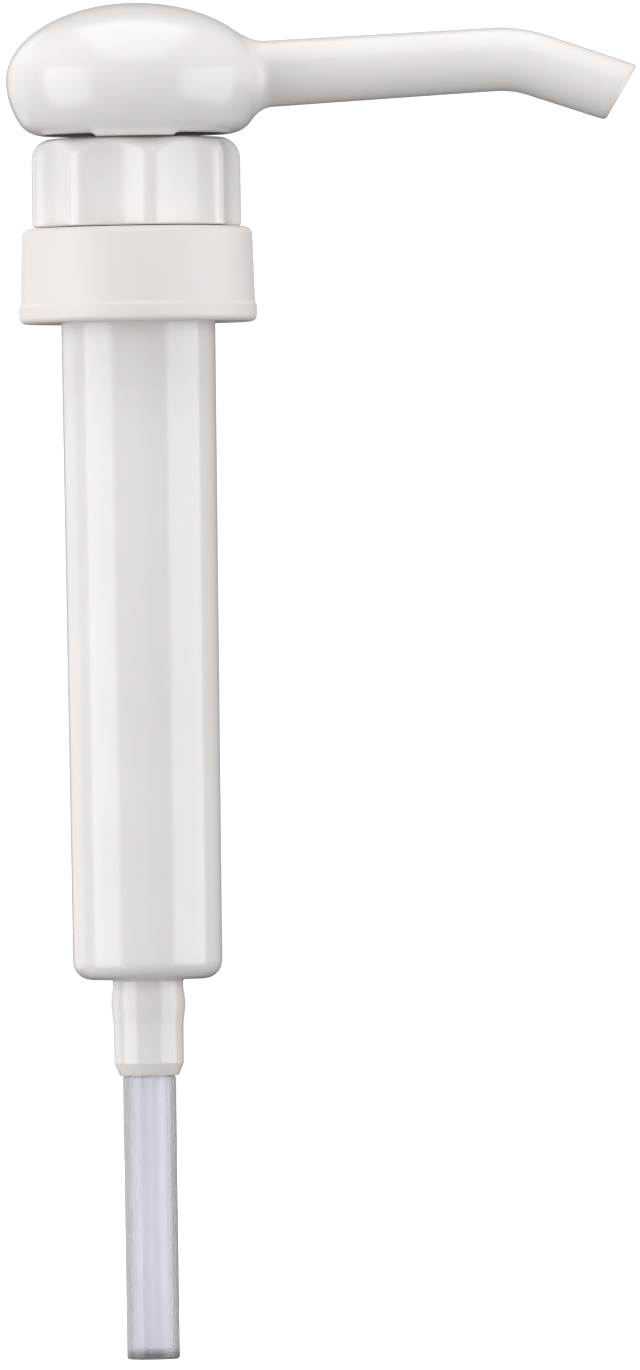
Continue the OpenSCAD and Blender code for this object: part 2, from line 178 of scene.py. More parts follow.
def solid(name, distance, low, high, cell, material, **shading):
    """A mesh of the surface where distance(x, y, z) is nought, over a grid of cells, in millimetres."""
    axes = [np.arange(a, b + cell, cell) for a, b in zip(low, high)]
    x, y, z = np.meshgrid(*axes, indexing="ij")
    grid = openvdb.FloatGrid(background=BAND * cell)
    field = np.clip(distance(x, y, z), -BAND * cell, BAND * cell)
    grid.copyFromArray(np.ascontiguousarray(field, dtype=np.float32))
    points, quads = grid.convertToQuads(0.0)
    points = np.asarray(points, float) * cell + np.array([a[0] for a in axes])
    for _ in range(PULLS):
        points = points - pull(distance, points, cell)
    return mesh_piece(name, points, quads, material, weighted=False, **shading)


def pull(distance, points, cell):
    """How far each point moves to reach the surface, at most a part of a cell at a time."""
    x, y, z = points.T
    e, flattest, longest = 0.02, 0.2, 0.4 * cell
    here = distance(x, y, z)
    slope = np.stack([distance(x + e, y, z) - distance(x - e, y, z),
                      distance(x, y + e, z) - distance(x, y - e, z),
                      distance(x, y, z + e) - distance(x, y, z - e)], axis=1) / (2 * e)
    steep = np.maximum((slope ** 2).sum(1), flattest)
    move = slope * (here / steep)[:, None]
    length = np.linalg.norm(move, axis=1, keepdims=True)
    return move * np.minimum(1, longest / np.maximum(length, 1e-9))


# ---------------------------------------------------------------- materials

WHITE, WHITE_SHADE = (0.80, 0.768, 0.75), (0.765, 0.733, 0.715)
SATIN, SATIN_SHADE = (0.80, 0.755, 0.735), (0.77, 0.725, 0.705)
INNER, INNER_SHADE = (0.78, 0.77, 0.75), (0.74, 0.73, 0.71)
TUBE_MILK, TUBE_CLEAR = (0.76, 0.755, 0.81), (0.81, 0.805, 0.86)
# painted shade: grey for the tube where its surface is seen edge on, and a darker grey for a band at its cut
# end
TUBE_EDGE_PAINTED_SHADE, TUBE_END_PAINTED_SHADE = (0.49, 0.49, 0.51), (0.27, 0.27, 0.28)
RUBBER = (0.56, 0.57, 0.58)
STEEL_DULL, STEEL_BRIGHT = (0.56, 0.56, 0.57), (0.68, 0.68, 0.69)


def new_material(name):
    material = bpy.data.materials.new(name)
    material.use_nodes = True
    nodes, links = material.node_tree.nodes, material.node_tree.links
    return material, nodes, links, nodes["Principled BSDF"]


def noise(nodes, links, place, scale, detail=2.0, stretch=(1, 1, 1), rough=0.5):
    """A noise pattern in the piece's own metres: scale is in waves a metre."""
    mapping = nodes.new("ShaderNodeMapping")
    mapping.inputs["Scale"].default_value = [scale * s for s in stretch]
    pattern = nodes.new("ShaderNodeTexNoise")
    pattern.inputs["Scale"].default_value = 1.0
    pattern.inputs["Detail"].default_value = detail
    pattern.inputs["Roughness"].default_value = rough
    links.new(place, mapping.inputs["Vector"])
    links.new(mapping.outputs["Vector"], pattern.inputs["Vector"])
    return pattern.outputs["Fac"]


def between(nodes, links, value, low, high, start=0.3, end=0.7):
    """Maps a pattern's start..end to low..high."""
    remap = nodes.new("ShaderNodeMapRange")
    for key, v in (("From Min", start), ("From Max", end), ("To Min", low), ("To Max", high)):
        remap.inputs[key].default_value = v
    links.new(value, remap.inputs["Value"])
    return remap.outputs["Result"]


def blend_colours(nodes, links, factor, first, second):
    """Mixes from the first colour to the second. Each is an (r, g, b) or another node's output."""
    mix = nodes.new("ShaderNodeMix")
    mix.data_type = "RGBA"
    links.new(factor, mix.inputs["Factor"])
    for colour, side in ((first, mix.inputs["A"]), (second, mix.inputs["B"])):
        if isinstance(colour, tuple):
            side.default_value = (*colour, 1)
        else:
            links.new(colour, side)
    return mix.outputs["Result"]


def add_bump(nodes, links, shader, layers):
    """Stacks bumps, each (height, distance in metres)."""
    last = None
    for height, distance in layers:
        bump = nodes.new("ShaderNodeBump")
        bump.inputs["Distance"].default_value = distance
        bump.inputs["Strength"].default_value = 1.0
        links.new(height, bump.inputs["Height"])
        if last is not None:
            links.new(last, bump.inputs["Normal"])
        last = bump.outputs["Normal"]
    links.new(last, shader.inputs["Normal"])


def moulded_plastic(name, colour, shade, rough, orange_peel=6e-6, grain=0.0, scuffs=0.06):
    """Injection moulded polypropylene: cloudy flow marks, orange peel, faint scuffs, some light within."""
    material, nodes, links, shader = new_material(name)
    place = nodes.new("ShaderNodeTexCoord").outputs["Object"]
    clouds = noise(nodes, links, place, scale=45, detail=3)
    flow = noise(nodes, links, place, scale=22, stretch=(1, 1, 0.25))
    mottle = nodes.new("ShaderNodeMath")
    mottle.operation = "MULTIPLY"
    links.new(clouds, mottle.inputs[0])
    links.new(flow, mottle.inputs[1])
    paler = between(nodes, links, mottle.outputs[0], 0, 1, start=0.12, end=0.4)
    links.new(blend_colours(nodes, links, paler, shade, colour), shader.inputs["Base Color"])
    hairlines = noise(nodes, links, place, scale=260, detail=4, stretch=(1, 0.12, 0.5), rough=0.7)
    scuffed = between(nodes, links, hairlines, rough, rough + scuffs, start=0.56, end=0.74)
    links.new(scuffed, shader.inputs["Roughness"])
    layers = [(noise(nodes, links, place, scale=700), orange_peel)]
    if grain:
        layers.append((noise(nodes, links, place, scale=3800), grain))
    add_bump(nodes, links, shader, layers)
    shader.inputs["IOR"].default_value = 1.49
    shader.inputs["Subsurface Weight"].default_value = 0.12
    shader.inputs["Subsurface Radius"].default_value = (1.0, 0.85, 0.75)
    shader.inputs["Subsurface Scale"].default_value = 0.0016
    return material


def extruded_tube_plastic(name, end_z):
    """Natural polyethylene tube: milky and bluish, with painted shade: greyer where its wall is seen edge on,
    and a painted dark band at the cut end.
    """
    material, nodes, links, shader = new_material(name)
    place = nodes.new("ShaderNodeTexCoord").outputs["Object"]
    lines = noise(nodes, links, place, scale=420, stretch=(1, 1, 0.004))
    haze = noise(nodes, links, place, scale=60, detail=3, stretch=(1, 1, 0.4))
    milky = blend_colours(nodes, links, between(nodes, links, haze, 0, 1), TUBE_MILK, TUBE_CLEAR)
    # painted edge shade: the colour turns grey where the surface is seen edge on
    edge = nodes.new("ShaderNodeLayerWeight")
    edge.inputs["Blend"].default_value = 0.5
    painted_edge_shade = between(nodes, links, edge.outputs["Facing"], 0, 1, start=0.16, end=0.42)
    # painted shade: a dark band over the last couple of millimetres above the cut end
    height = nodes.new("ShaderNodeSeparateXYZ")
    links.new(place, height.inputs["Vector"])
    painted_end_shade = between(nodes, links, height.outputs["Z"], 1, 0, start=end_z + 0.0008, end=end_z + 0.0022)
    with_edge_shade = blend_colours(nodes, links, painted_edge_shade, milky, TUBE_EDGE_PAINTED_SHADE)
    links.new(blend_colours(nodes, links, painted_end_shade, with_edge_shade, TUBE_END_PAINTED_SHADE), shader.inputs["Base Color"])
    links.new(between(nodes, links, lines, 0.24, 0.3), shader.inputs["Roughness"])
    add_bump(nodes, links, shader, [(lines, 4e-7)])
    shader.inputs["IOR"].default_value = 1.51
    shader.inputs["Transmission Weight"].default_value = 0.7
    return material


def elastomer(name, colour):
    """Soft matt rubber with a faint bloom."""
    material, nodes, links, shader = new_material(name)
    place = nodes.new("ShaderNodeTexCoord").outputs["Object"]
    bloom = noise(nodes, links, place, scale=180, detail=4)
    darker = tuple(c * 0.9 for c in colour)
    links.new(blend_colours(nodes, links, between(nodes, links, bloom, 0, 1), darker, colour),
              shader.inputs["Base Color"])
    links.new(between(nodes, links, bloom, 0.5, 0.66), shader.inputs["Roughness"])
    add_bump(nodes, links, shader, [(noise(nodes, links, place, scale=2600), 1.2e-5)])
    shader.inputs["IOR"].default_value = 1.45
    shader.inputs["Subsurface Weight"].default_value = 0.1
    shader.inputs["Subsurface Scale"].default_value = 0.001
    return material


def drawn_steel(name):
    """Stainless steel with fine streaks."""
    material, nodes, links, shader = new_material(name)
    place = nodes.new("ShaderNodeTexCoord").outputs["Object"]
    streaks = noise(nodes, links, place, scale=1500, detail=3, stretch=(1, 1, 0.3))
    links.new(blend_colours(nodes, links, between(nodes, links, streaks, 0, 1), STEEL_DULL, STEEL_BRIGHT),
              shader.inputs["Base Color"])
    links.new(between(nodes, links, streaks, 0.16, 0.3), shader.inputs["Roughness"])
    add_bump(nodes, links, shader, [(streaks, 6e-6)])
    shader.inputs["Metallic"].default_value = 1.0
    return material


gloss_white = moulded_plastic("gloss_white_plastic", WHITE, WHITE_SHADE, rough=0.2)
barrel_white = moulded_plastic("barrel_white_plastic", WHITE, WHITE_SHADE, rough=0.13, orange_peel=4e-6,
                               scuffs=0.04)
satin_white = moulded_plastic("satin_white_plastic", SATIN, SATIN_SHADE, rough=0.5, grain=1.6e-5)
inner_white = moulded_plastic("inner_white_plastic", INNER, INNER_SHADE, rough=0.3, grain=4e-6)
tube_plastic = extruded_tube_plastic("clear_tube_plastic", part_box("dip_tube")[0][2])
seal_rubber = elastomer("seal_elastomer", RUBBER)
steel = drawn_steel("spring_steel")


# ---------------------------------------------------------------- pump cylinder

CYLINDER_BORE_R, COLLAR_R, BARREL_FOOT_R = 12.3, 13.85, 13.4
COLLAR_BEAD_R, GASKET_SEAT_R = COLLAR_R + 0.42, COLLAR_R + 0.2
FLANGE_BOTTOM, FLANGE_TOP, GASKET_SEAT_Z, LAND_Z = 1.5, 3.5, -0.4, -12
FOOT_Z, FLOOR_Z, BALL_SEAT_Z, TUBE_STOP_Z = -129.5, -127.4, -128.4, -131.88
TUBE_SOCKET_R, INLET_R, BALL_SEAT_R = 4.57, 3.2, 4.6
VENT_R, VENT_Z, VENT_Y, VENT_LENGTH, VENT_SIDES = 0.8, -13.2, 13, 6, 24
FOOT_ROOM = 8                             # length of wall that the foot's rounding has to itself


def cylinder_corners():
    """Half section of the cylinder, from the rim of its bore down the outside and back up the inside."""
    low, high = box_mm("pump_cylinder")
    top, mouth, flange_r = high[2], low[2], high[0]
    collar = [(CYLINDER_BORE_R, top, 0.25), (COLLAR_R, top, 0.35), (COLLAR_R, 8.3, 0.1),
              (COLLAR_BEAD_R, 8.1, 0.15), (COLLAR_BEAD_R, 7.6, 0.2), (COLLAR_R, 7.3, 0.1)]
    flange = [(COLLAR_R, FLANGE_TOP, 0.25), (flange_r, FLANGE_TOP, 0.3), (flange_r, FLANGE_BOTTOM, 0.3)]
    gasket_seat = [(GASKET_SEAT_R, FLANGE_BOTTOM, 0.1), (GASKET_SEAT_R, GASKET_SEAT_Z, 0.1),
                   (COLLAR_R, GASKET_SEAT_Z, 0.1)]
    barrel = [(COLLAR_R, LAND_Z, 0), (BARREL_FOOT_R + 0.03, FOOT_Z + FOOT_ROOM, 0),
              (BARREL_FOOT_R, FOOT_Z, 3.3)]
    tube_socket = [(6.3, FOOT_Z, 0.5), (6.3, FOOT_Z - 1.5, 0.5), (6.6, FOOT_Z - 3.8, 0.8),
                   (6.6, FOOT_Z - 5, 0.8), (6.25, FOOT_Z - 8, 0.8), (6.2, mouth + 2.2, 0.5),
                   (5.3, mouth, 0.25), (TUBE_SOCKET_R, mouth, 0.12)]
    inside = [(TUBE_SOCKET_R, TUBE_STOP_Z, 0.1), (INLET_R, TUBE_STOP_Z, 0.1), (INLET_R, BALL_SEAT_Z, 0.15),
              (BALL_SEAT_R, BALL_SEAT_Z, 0.1), (BALL_SEAT_R, FLOOR_Z, 0.1), (CYLINDER_BORE_R, FLOOR_Z, 0.5)]
    return collar + flange + gasket_seat + barrel + tube_socket + inside


def vent_cutter():
    """A round bar through the back wall, turned so that none of its edges meets a column of the wall's mesh."""
    mesh = bpy.data.meshes.new("vent_drill")
    work = bmesh.new()
    bmesh.ops.create_cone(work, cap_ends=True, segments=VENT_SIDES, radius1=VENT_R * MM, radius2=VENT_R * MM,
                          depth=VENT_LENGTH * MM)
    half_a_side = Matrix.Rotation(math.pi / VENT_SIDES, 4, "Z")
    lay_down = Matrix.Rotation(math.pi / 2, 4, "X") @ half_a_side
    in_the_wall = Matrix.Translation((0, VENT_Y * MM, VENT_Z * MM))
    bmesh.ops.transform(work, matrix=in_the_wall @ lay_down, verts=work.verts)
    work.to_mesh(mesh)
    work.free()
    cutter = bpy.data.objects.new("vent_drill", mesh)
    bpy.context.scene.collection.objects.link(cutter)
    return cutter


def make_cylinder():
    piece = lathe("pump_barrel", rounded(cylinder_corners()), barrel_white, columns=192)
    cutter = vent_cutter()
    hole = piece.modifiers.new("vent", "BOOLEAN")
    hole.object = cutter
    hole.solver = "EXACT"
    piece.modifiers.move(1, 0)
    apply_modifiers(piece)
    bpy.data.objects.remove(cutter)
    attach(piece, "pump_body")
    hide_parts("pump_cylinder")


# ---------------------------------------------------------------- dip tube

TUBE_BORE_R, TUBE_SQUEEZE, TUBE_NECK_Z = 3.4, 0.2, -147.1


def make_tube():
    low, high = box_mm("dip_tube")
    outer_r, neck_r = high[0], high[0] - TUBE_SQUEEZE
    outline = rounded([
        (TUBE_BORE_R, high[2], 0.1), (neck_r, high[2], 0.1), (neck_r, TUBE_NECK_Z, 0.05),
        (outer_r, TUBE_NECK_Z, 0.1), (outer_r, low[2], 0.5), (TUBE_BORE_R, low[2], 0.15)])
    piece = lathe("suction_tube", outline, tube_plastic, columns=96)
    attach(piece, "pump_body")
    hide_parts("dip_tube")


# ---------------------------------------------------------------- screw cap

CAP_OPENING_R, CAP_ROOF = 14.6, 2         # CAP_ROOF is how thick the cap is at its top
THREAD_ROOT_R, THREAD_DEPTH, THREAD_PITCH = 18.95, 1.15, 4.233
THREAD_START, THREAD_TURNS = -9.2, 1.25
THREAD_FOOT, THREAD_FLANK = 1.4, 0.9      # half width at the wall, and the part of it that slopes
THREAD_FADE, THREAD_LEAST = 8, 0.04       # it runs in and out over an eighth of its length, from this share
THREAD_ROWS = 60


def thread_height(angle, z):
    """How far the thread stands in from the cap's wall at an angle and a height."""
    height = np.zeros_like(z)
    for turn in range(math.ceil(THREAD_TURNS)):
        along = angle / (2 * math.pi) + turn
        share = along / THREAD_TURNS
        if share > 1:
            continue
        fade_in, fade_out = THREAD_LEAST + THREAD_FADE * share, THREAD_LEAST + THREAD_FADE * (1 - share)
        depth = THREAD_DEPTH * min(1, fade_in, fade_out)
        off = np.abs(z - THREAD_START - THREAD_PITCH * along)
        ramp = np.clip((THREAD_FOOT - off) / THREAD_FLANK, 0, 1)
        height = np.maximum(height, depth * smooth_step(ramp))
    return height


def make_cap():
    low, high = box_mm("screw_cap")
    mouth, top, bead_r = low[2], high[2], high[0]
    roof_z = top - CAP_ROOF
    cap_r, skirt_r = bead_r - 0.7, bead_r - 0.3
    outside = rounded([
        (CAP_OPENING_R, roof_z, 0.25), (CAP_OPENING_R, top, 0.3), (cap_r, top, 1.4),
        (skirt_r, mouth + 3.6, 0.7), (bead_r, mouth + 3.0, 0.6), (bead_r, mouth, 1.4),
        (THREAD_ROOT_R, mouth, 0.3)])
    heights = np.linspace(mouth + 0.6, roof_z - 0.6, THREAD_ROWS)
    ends = (THREAD_ROOT_R, mouth, 0), (CAP_OPENING_R, roof_z, 0)
    corner = rounded([ends[0], (THREAD_ROOT_R, roof_z, 0.5), ends[1]])[1:-1]

    def outline(angle):
        wall = np.column_stack([THREAD_ROOT_R - thread_height(angle, heights), heights])
        return np.concatenate([outside, wall, corner])

    piece = lathe("closure_cap", outline, satin_white, columns=180)
    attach(piece, "closure")
    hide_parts("screw_cap")


# ---------------------------------------------------------------- lock nut

NUT_R, FLUTES, FLUTE_R, FLUTE_FLOOR, RIB_ANGLE = 18.9, 8, 15.4, 16.7, math.radians(9)
NUT_DROP = 0.2                            # how far the nut's edge hangs below its CAD box, towards the cap
TOP_ROUND_FLUTE, TOP_ROUND_RIB = 1.1, 3.7
LIP_HOLE_R, SLOT_R, SLOT_HALF, SLOT_SIDE = 7.3, 9.0, math.radians(26), math.radians(2.4)
NUT_BORE_R, NUT_GROOVE_R, CORE_R, SHELF_R, WIPER_SEAT_R = 14.0, 14.42, 11, 9.4, 8.3
SHELF_Z, GUIDE_TOP, LIP_THICK, CORE_ROOF = 12.9, 10.8, 3.5, 2.2


def nut_radius(angle):
    """Outside of the nut at an angle: concave flutes between rounded ribs."""
    pitch = 2 * math.pi / FLUTES
    off = (angle - RIB_ANGLE) % pitch - pitch / 2
    middle = FLUTE_FLOOR + FLUTE_R
    flute = middle * math.cos(off) - math.sqrt(FLUTE_R ** 2 - (middle * math.sin(off)) ** 2)
    return float(soft_min(np.array(NUT_R), np.array(flute), blend=0.7))


def nut_hole(angle):
    """Radius of the lip's hole: wider in the two release slots."""
    off = min(abs((angle - side + math.pi) % (2 * math.pi) - math.pi) for side in (math.pi / 2, -math.pi / 2))
    inside = np.clip((SLOT_HALF - off) / SLOT_SIDE + 0.5, 0, 1)
    return LIP_HOLE_R + (SLOT_R - LIP_HOLE_R) * float(smooth_step(inside))


def make_nut():
    low, high = box_mm("lock_nut")
    bottom, top = low[2] - NUT_DROP, high[2]
    lip_z, core_top = top - LIP_THICK, top - CORE_ROOF

    def outline(angle):
        outer, hole = nut_radius(angle), nut_hole(angle)
        rib = (outer - FLUTE_FLOOR) / (NUT_R - FLUTE_FLOOR)
        top_round = TOP_ROUND_FLUTE + rib * (TOP_ROUND_RIB - TOP_ROUND_FLUTE)
        shell = [(NUT_BORE_R, bottom, 0.3), (outer, bottom, 0.45), (outer, top, top_round), (hole, top, 0.35),
                 (hole, lip_z, 0.15)]
        lug_room = [(SHELF_R, lip_z, 0.2), (SHELF_R, SHELF_Z, 0.2)]
        wiper_seat = [(WIPER_SEAT_R, SHELF_Z, 0.1), (WIPER_SEAT_R, GUIDE_TOP, 0.1)]
        cored_ring = [(CORE_R, GUIDE_TOP, 0.2), (CORE_R, core_top, 0.4), (NUT_BORE_R, core_top, 0.4)]
        snap_groove = [(NUT_BORE_R, 8.45, 0.1), (NUT_GROOVE_R, 8.3, 0.1), (NUT_GROOVE_R, 7.3, 0.1),
                       (NUT_BORE_R, 7.15, 0.1)]
        return rounded(shell + lug_room + wiper_seat + cored_ring + snap_groove, steps=6)

    piece = lathe("locking_nut", outline, gloss_white, columns=360)
    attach(piece, "pump_body")
    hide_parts("lock_nut")


# ---------------------------------------------------------------- head: dome and spout

DOME_WIDE, DOME_FALL, DOME_WALL = 32.4, 17.7, 2.2          # height of the widest ring, depth below it, wall
RIM_Z, TAB_Z, TAB_R, TAB_THICK, TAB_ROOT = 22.35, 21.98, 19.3, 2.2, 5   # TAB_ROOT is below DOME_WIDE
SPOUT_Z, SPOUT_RISE, SPOUT_TURN, BEND_R = 31.9, math.radians(2.8), math.radians(21.8), 21.0
SPOUT_CORNER, SPOUT_PAST, TIP_SLANT = 68.7, 19.9, math.radians(11.6)
SPOUT_STATIONS, SPOUT_RADII, SPOUT_BORE_R = (0, 58, 88), (6.15, 5.75, 5.6), 3.9
SPOUT_START, BORE_START = 2, -4.0                          # where on x the spout and its bore begin
BOSS_R, STEM_R, STEM_SOCKET_TOP, RISER_R = 7.0, 5.5, 27, 3.3
LUG_R, LUG_Z, LUG_HALF, LUG_ANGLE = 8.7, 15.55, 1.65, math.radians(20)
WEB_ANGLES, WEB_HALF, WEB_START, WEB_BOTTOM = np.radians([60, 120, 180, 240, 300]), 0.7, 4, 26
FAR = 50.0                                                 # a distance beyond all of the head
HEAD_CELL, HEAD_MARGIN = 0.48, 1.2


def spout_path(x, z):
    """Distance in the middle plane from the spout's axis, the length along it, and that past its cut tip."""
    tangent = BEND_R * math.tan(SPOUT_TURN / 2)
    run = SPOUT_CORNER / math.cos(SPOUT_RISE) - tangent
    c, s = math.cos(SPOUT_RISE), math.sin(SPOUT_RISE)
    u, v = x * c + (z - SPOUT_Z) * s, -x * s + (z - SPOUT_Z) * c
    first = np.hypot(np.maximum(u - run, 0), v)
    along_first = np.minimum(u, run)
    du, dv = u - run, v + BEND_R
    angle = np.clip(np.arctan2(du, dv), 0, SPOUT_TURN)
    bend = np.hypot(du - BEND_R * np.sin(angle), dv - BEND_R * np.cos(angle))
    along_bend = run + BEND_R * angle
    c2, s2 = math.cos(SPOUT_TURN), math.sin(SPOUT_TURN)
    eu, ev = du - BEND_R * s2, v - (BEND_R * c2 - BEND_R)
    p, q = eu * c2 - ev * s2, eu * s2 + ev * c2
    last = np.hypot(np.minimum(p, 0), q)
    along_last = run + BEND_R * SPOUT_TURN + np.maximum(p, 0)
    away = np.minimum(np.minimum(first, bend), last)
    along = np.where(first <= away, along_first, np.where(bend <= away, along_bend, along_last))
    end = (p - (SPOUT_PAST - tangent)) * math.cos(TIP_SLANT) - q * math.sin(TIP_SLANT)
    return away, along, end


def ellipsoid(x, y, z, radius, rise, fall):
    """Nearly the distance from an ellipsoid whose upper and lower halves differ in height."""
    h = z - DOME_WIDE
    tall = np.where(h > 0, rise, fall)
    r2 = x * x + y * y
    size = np.sqrt(r2 / radius ** 2 + (h / tall) ** 2)
    slope = np.sqrt(r2 / radius ** 4 + (h / tall ** 2) ** 2)
    return size * (size - 1) / np.maximum(slope, 1e-6)


def rim_tabs(x, z, radius):
    """A low tab on the dome's rim in front, and one behind."""
    ring = soft_max(radius - TAB_R, TAB_R - TAB_THICK - radius, blend=0.5)
    tab = soft_max(ring, np.abs(x) - BOSS_R, blend=0.8)
    return soft_max(tab, np.maximum(TAB_Z - z, z - DOME_WIDE + TAB_ROOT), blend=0.4)


def dome_webs(x, y, z):
    """Flat webs from the boss to the dome, with none under the spout."""
    webs = np.full_like(x, FAR)
    for a in WEB_ANGLES:
        across = np.abs(-x * math.sin(a) + y * math.cos(a)) - WEB_HALF
        webs = np.minimum(webs, np.maximum(across, WEB_START - (x * math.cos(a) + y * math.sin(a))))
    return soft_max(webs, WEB_BOTTOM - z, blend=0.6)


def boss_lugs(x, y, z, radius):
    """Two lugs low on the boss, in front and behind."""
    ring = np.maximum(radius - LUG_R, np.abs(z - LUG_Z) - LUG_HALF)
    sector = (np.abs(x) - np.abs(y) * math.tan(LUG_ANGLE)) * math.cos(LUG_ANGLE)
    return soft_max(ring, sector, blend=0.5)


def waterway(x, z, radius, tube):
    """The spout's bore, the riser over the stem and the stem's socket."""
    bore = np.maximum(tube - SPOUT_BORE_R, BORE_START - x)
    riser = np.maximum(radius - RISER_R, z - SPOUT_Z)
    socket = np.maximum(radius - STEM_R, z - STEM_SOCKET_TOP)
    return np.minimum(np.minimum(bore, riser), socket)


def head_distance(dome_r, top, boss_z):
    """The whole head as one distance, for a dome radius, its top and the boss's foot."""
    rise = top - DOME_WIDE

    def distance(x, y, z):
        radius = np.hypot(x, y)
        away, along, end = spout_path(x, z)
        tube = np.hypot(away, y)
        spout = np.maximum(tube - np.interp(along, SPOUT_STATIONS, SPOUT_RADII), SPOUT_START - x)
        outside = soft_min(ellipsoid(x, y, z, dome_r, rise, DOME_FALL), spout, blend=2.6)
        outside = soft_max(outside, RIM_Z - z, blend=2.4)
        boss = soft_max(radius - BOSS_R, boss_z - z, blend=0.8)
        core = soft_min(soft_min(boss, dome_webs(x, y, z), blend=1.0), spout, blend=0.9)
        inner = ellipsoid(x, y, z, dome_r - DOME_WALL, rise - DOME_WALL, DOME_FALL - DOME_WALL)
        hollow = soft_max(inner, -core, blend=1.0)
        head = soft_max(outside, -hollow, blend=0.7)
        head = soft_min(head, rim_tabs(x, z, radius), blend=1.2)
        head = soft_min(head, soft_max(boss, z - DOME_WIDE, blend=0.1), blend=0.7)
        head = soft_min(head, boss_lugs(x, y, z, radius), blend=0.4)
        head = soft_max(head, -waterway(x, z, radius, tube), blend=0.4)
        return soft_max(head, end, blend=0.7)
    return distance


def make_head():
    low, high = box_mm("actuator_head")
    distance = head_distance(dome_r=-low[0], top=high[2], boss_z=low[2])
    piece = solid("pump_head", distance, low - HEAD_MARGIN, high + HEAD_MARGIN, HEAD_CELL, gloss_white,
                  sharp=60)
    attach(piece, "plunger")
    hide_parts("actuator_head")


# ---------------------------------------------------------------- return spring

WIRE_R, COIL_R, TURNS = 0.65, 9.8, 14
WIRE_STEPS, WIRE_SIDES = 48, 12           # steps in a turn, and sides of the wire


def make_spring():
    """A wire coil with one closed turn at each end."""
    low, high = box_mm("return_spring")
    open_length = high[2] - low[2] - 6 * WIRE_R
    turn = np.arange(TURNS * WIRE_STEPS + 1) / WIRE_STEPS
    rise = np.interp(turn, (0, 1, TURNS - 1, TURNS), np.cumsum([WIRE_R, 2 * WIRE_R, open_length, 2 * WIRE_R]))
    a = 2 * math.pi * turn[:, None]
    b = 2 * math.pi * np.arange(WIRE_SIDES)[None, :] / WIRE_SIDES
    r = COIL_R + WIRE_R * np.cos(b)
    points = np.stack([r * np.cos(a), r * np.sin(a), low[2] + rise[:, None] + WIRE_R * np.sin(b)], axis=2)
    last = (len(turn) - 1) * WIRE_SIDES
    faces = []
    for here in range(0, last, WIRE_SIDES):
        for j in range(WIRE_SIDES):
            k = (j + 1) % WIRE_SIDES
            faces.append((here + j, here + WIRE_SIDES + j, here + WIRE_SIDES + k, here + k))
    faces += [list(range(WIRE_SIDES))[::-1], [last + j for j in range(WIRE_SIDES)]]
    piece = mesh_piece("spring_coil", points.reshape(-1, 3), faces, steel, weighted=False)
    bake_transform(piece)
    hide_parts("return_spring")


# ---------------------------------------------------------------- pieces kept from the CAD model

def finish_cad_nodes():
    finishes = {
        inner_white: ("stem_guide", "inlet_ball_cage", "spring_cup", "piston_retainer", "piston_core",
                      "outlet_ball_stop"),
        gloss_white: ("stem",),
        seal_rubber: ("neck_gasket", "stem_wiper", "cylinder_seal_ring", "piston_seal"),
        steel: ("inlet_ball", "outlet_ball")}
    for material, nodes in finishes.items():
        for node in nodes:
            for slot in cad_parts[node].material_slots:
                slot.material = material


# ---------------------------------------------------------------- stage, light, camera

LENS, SENSOR = 500.0, 36.0
MARGIN, ROLL = 1.0102, math.radians(-0.85)
AIM = Vector((-0.0019, 0, -0.0012))       # where the camera looks, from the middle of the CAD box
SEEN_WHITE, STUDIO_DIM, STUDIO_DARK = 1.15, 0.3, 0.03
STUDIO_DARK_SIDE = Vector((0.45, 0.5, -0.75)).normalized()
FLOOR_RADIUS, FLOOR_GAP, FLOOR_GLOW = 6.0, 0.0005, 0.75


def make_camera(low, high):
    """A level long-lens camera in front, turned a little about its own axis."""
    data = bpy.data.cameras.new("camera")
    data.lens, data.sensor_width = LENS, SENSOR
    camera = bpy.data.objects.new("camera", data)
    bpy.context.scene.collection.objects.link(camera)
    target = (low + high) / 2
    target.y = 0
    target += AIM
    back = Vector((0, -1, 0))
    camera.location = target + back * (LENS / SENSOR * (high.z - low.z) * MARGIN)
    camera.rotation_mode = "QUATERNION"
    camera.rotation_quaternion = (-back).to_track_quat("-Z", "Y") @ Quaternion((0, 0, 1), ROLL)
    data.clip_start, data.clip_end = 0.01, 50
    bpy.context.scene.camera = camera


def softbox(name, target, azimuth, elevation, distance, size, brightness, glossy=True):
    """An area light that faces the target. Azimuth 0 is the camera's side, 90 the spout's."""
    data = bpy.data.lights.new(name, "AREA")
    data.shape = "RECTANGLE"
    data.size, data.size_y = size
    data.energy = brightness * math.pi * size[0] * size[1]
    light = bpy.data.objects.new(name, data)
    a, e = math.radians(azimuth), math.radians(elevation)
    away = Vector((math.sin(a) * math.cos(e), -math.cos(a) * math.cos(e), math.sin(e)))
    light.location = target + away * distance
    light.rotation_mode = "QUATERNION"
    light.rotation_quaternion = (-away).to_track_quat("-Z", "Y")
    light.visible_camera = False
    light.visible_glossy = glossy
    bpy.context.scene.collection.objects.link(light)


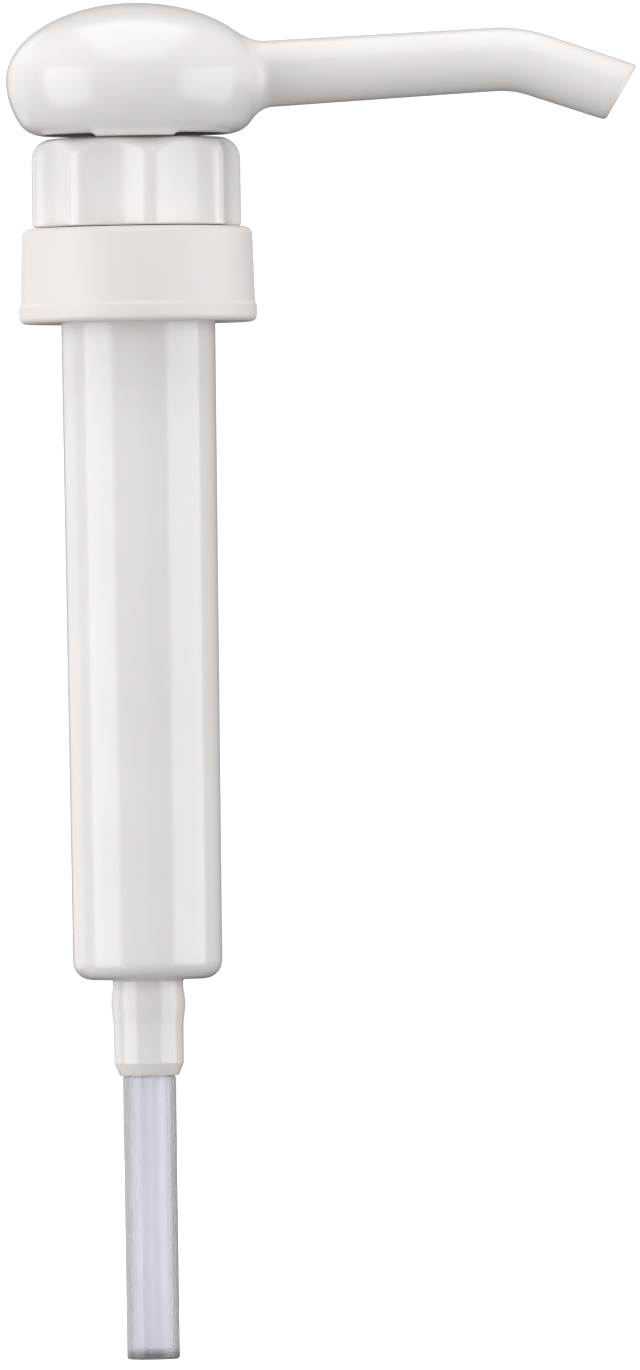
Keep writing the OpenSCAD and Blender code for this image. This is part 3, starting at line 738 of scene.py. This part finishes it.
def make_world():
    """White to the camera and through clear plastic. To all else a dim studio, darkest low behind the spout."""
    world = bpy.data.worlds.new("studio")
    world.use_nodes = True
    nodes, links = world.node_tree.nodes, world.node_tree.links
    seen, dim = nodes["Background"], nodes.new("ShaderNodeBackground")
    seen.inputs["Color"].default_value = (1, 1, 1, 1)
    seen.inputs["Strength"].default_value = SEEN_WHITE
    dim.inputs["Color"].default_value = (1, 1, 1, 1)
    toward = nodes.new("ShaderNodeVectorMath")
    toward.operation = "DOT_PRODUCT"
    toward.inputs[1].default_value = STUDIO_DARK_SIDE
    links.new(nodes.new("ShaderNodeTexCoord").outputs["Generated"], toward.inputs[0])
    links.new(between(nodes, links, toward.outputs["Value"], STUDIO_DIM, STUDIO_DARK, start=0.1, end=0.7),
              dim.inputs["Strength"])
    pick, path = nodes.new("ShaderNodeMixShader"), nodes.new("ShaderNodeLightPath")
    either = nodes.new("ShaderNodeMath")
    either.operation = "MAXIMUM"
    links.new(path.outputs["Is Camera Ray"], either.inputs[0])
    links.new(path.outputs["Is Transmission Ray"], either.inputs[1])
    links.new(either.outputs["Value"], pick.inputs["Fac"])
    links.new(dim.outputs["Background"], pick.inputs[1])
    links.new(seen.outputs["Background"], pick.inputs[2])
    links.new(pick.outputs["Shader"], nodes["World Output"].inputs["Surface"])
    bpy.context.scene.world = world


def make_floor(z):
    """A pale disc that only the camera sees."""
    material, _, _, shader = new_material("pale_floor")
    shader.inputs["Base Color"].default_value = (0.9, 0.9, 0.9, 1)
    shader.inputs["Roughness"].default_value = 0.9
    shader.inputs["Emission Color"].default_value = (1, 1, 1, 1)
    shader.inputs["Emission Strength"].default_value = FLOOR_GLOW
    mesh = bpy.data.meshes.new("floor")
    work = bmesh.new()
    bmesh.ops.create_circle(work, cap_ends=True, segments=96, radius=FLOOR_RADIUS)
    bmesh.ops.translate(work, verts=work.verts, vec=(0, 0, z))
    work.to_mesh(mesh)
    work.free()
    mesh.materials.append(material)
    floor = bpy.data.objects.new("floor", mesh)
    bpy.context.scene.collection.objects.link(floor)
    floor.visible_diffuse = False
    floor.visible_glossy = False
    floor.visible_shadow = False


def make_studio(low, high):
    """World, floor and lights. The two fills only brighten: they leave no highlight."""
    centre = (low + high) / 2
    centre.x = 0
    head = centre + Vector((0, 0, 0.1))
    make_world()
    make_floor(low.z - FLOOR_GAP)
    softbox("left_box", centre, azimuth=-64.5, elevation=0, distance=0.9, size=(0.8, 1.0), brightness=2.65)
    softbox("right_box", centre, azimuth=72, elevation=0, distance=0.9, size=(1.02, 0.78), brightness=2.6)
    softbox("top_box", head, azimuth=0, elevation=84, distance=0.8, size=(0.75, 1.3), brightness=1.95)
    softbox("back_box", centre, azimuth=-135, elevation=10, distance=1.2, size=(1.0, 1.2), brightness=0.7)
    softbox("front_fill", centre, azimuth=0, elevation=-1, distance=1.5, size=(0.45, 0.45), brightness=4.0,
            glossy=False)
    softbox("back_fill", centre, azimuth=170, elevation=8, distance=1.5, size=(0.45, 0.45), brightness=5.0,
            glossy=False)
    bpy.context.scene.view_settings.view_transform = "Standard"


make_cylinder()
make_tube()
make_cap()
make_nut()
make_head()
make_spring()
finish_cad_nodes()
make_studio(*CAD_BOX)
make_camera(*CAD_BOX)
